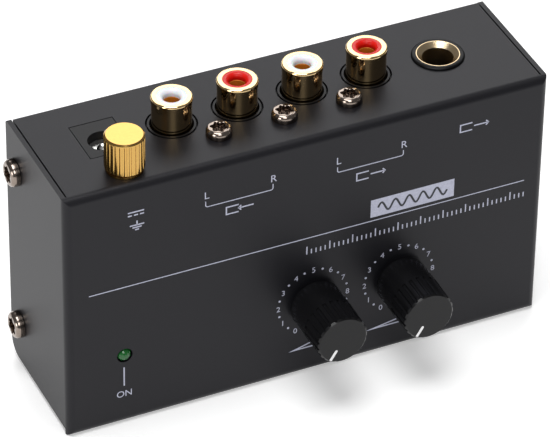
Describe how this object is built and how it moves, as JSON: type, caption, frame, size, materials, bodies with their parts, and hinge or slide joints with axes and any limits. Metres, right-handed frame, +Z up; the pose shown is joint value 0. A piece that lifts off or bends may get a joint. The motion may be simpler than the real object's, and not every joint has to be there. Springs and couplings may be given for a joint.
{
  "type": "phono preamp",
  "caption": "Small boxed phono preamp: sheet metal tray with rotary level and volume controls, phono sockets, jack socket, power socket and ground terminal.",
  "frame": {"origin": "middle of the face that the case stands on, half way between the front panel and the back edges of the top and bottom flanges", "axes": "+Z up out of the connector face, -Y out of the front panel with the knobs, +X to the right seen from the front"},
  "size_m": [0.1076, 0.0452, 0.0662],
  "materials": {
    "black_powder_coat": "satin",
    "nickel": "polished",
    "black_rubber": "matt",
    "green_board": "satin",
    "black_moulding": "matt",
    "gold_plate": "polished",
    "brass": "turned",
    "white_plastic": "gloss",
    "red_plastic": "gloss",
    "knob_plastic": "satin",
    "green_lens": "gloss",
    "aluminium_can": "sleeve"
  },
  "bodies": {
    "case": {"case_tray": "black_powder_coat", "rear_cover": "black_powder_coat", "cover_screws": "nickel", "rubber_feet": "black_rubber", "circuit_board": "green_board", "board_pillars": "nickel", "board_screws": "nickel", "rca_block_housing": "black_moulding", "rca_block_screws": "nickel", "rca_shell_1": "gold_plate", "rca_insulator_1": "white_plastic", "rca_contact_1": "gold_plate", "rca_shell_2": "gold_plate", "rca_insulator_2": "red_plastic", "rca_contact_2": "gold_plate", "rca_shell_3": "gold_plate", "rca_insulator_3": "white_plastic", "rca_contact_3": "gold_plate", "rca_shell_4": "gold_plate", "rca_insulator_4": "red_plastic", "rca_contact_4": "gold_plate", "dc_jack_housing": "black_moulding", "dc_jack_contact": "nickel", "dc_jack_pin": "nickel", "phone_jack_housing": "black_moulding", "phone_jack_ferrule": "gold_plate", "phone_jack_springs": "nickel", "ground_stud": "gold_plate", "ground_inner_nut": "nickel", "ground_lug": "gold_plate", "level_pot_body": "black_moulding", "level_pot_bushing": "brass", "volume_pot_body": "black_moulding", "volume_pot_bushing": "brass", "power_led": "green_lens", "led_spacer": "black_moulding", "led_leads": "nickel", "electrolytic_capacitors": "aluminium_can", "integrated_circuits": "black_moulding", "film_capacitors": "red_plastic", "voltage_regulator": "black_moulding"},
    "level_control": {"level_pot_shaft": "nickel", "level_knob": "knob_plastic", "level_knob_pointer": "white_plastic"},
    "volume_control": {"volume_pot_shaft": "nickel", "volume_knob": "knob_plastic", "volume_knob_pointer": "white_plastic"},
    "ground_washer": {"ground_washer": "gold_plate"},
    "ground_nut": {"ground_thumb_nut": "gold_plate"}
  },
  "joints": [
    {"name": "level_knob_turn", "type": "hinge", "parent": "case", "child": "level_control", "pos_m": [0.0011, -0.01455, 0.018], "axis": [0, 1, 0], "range_deg": [0, 300]},
    {"name": "volume_knob_turn", "type": "hinge", "parent": "case", "child": "volume_control", "pos_m": [0.02005, -0.01455, 0.018], "axis": [0, 1, 0], "range_deg": [0, 300]},
    {"name": "thumb_nut_lift", "type": "slide", "parent": "case", "child": "ground_washer", "axis": [0, 0, 1], "range_m": [0, 0.0042]},
    {"name": "thumb_nut_turn", "type": "hinge", "parent": "ground_washer", "child": "ground_nut", "pos_m": [-0.0369, -0.0089, 0.062], "axis": [0, 0, 1], "range_deg": [0, 2162]}
  ],
  "couplings": [
    {"joint": "thumb_nut_turn", "follows": "thumb_nut_lift", "rad_per_m": 8976}
  ]
}
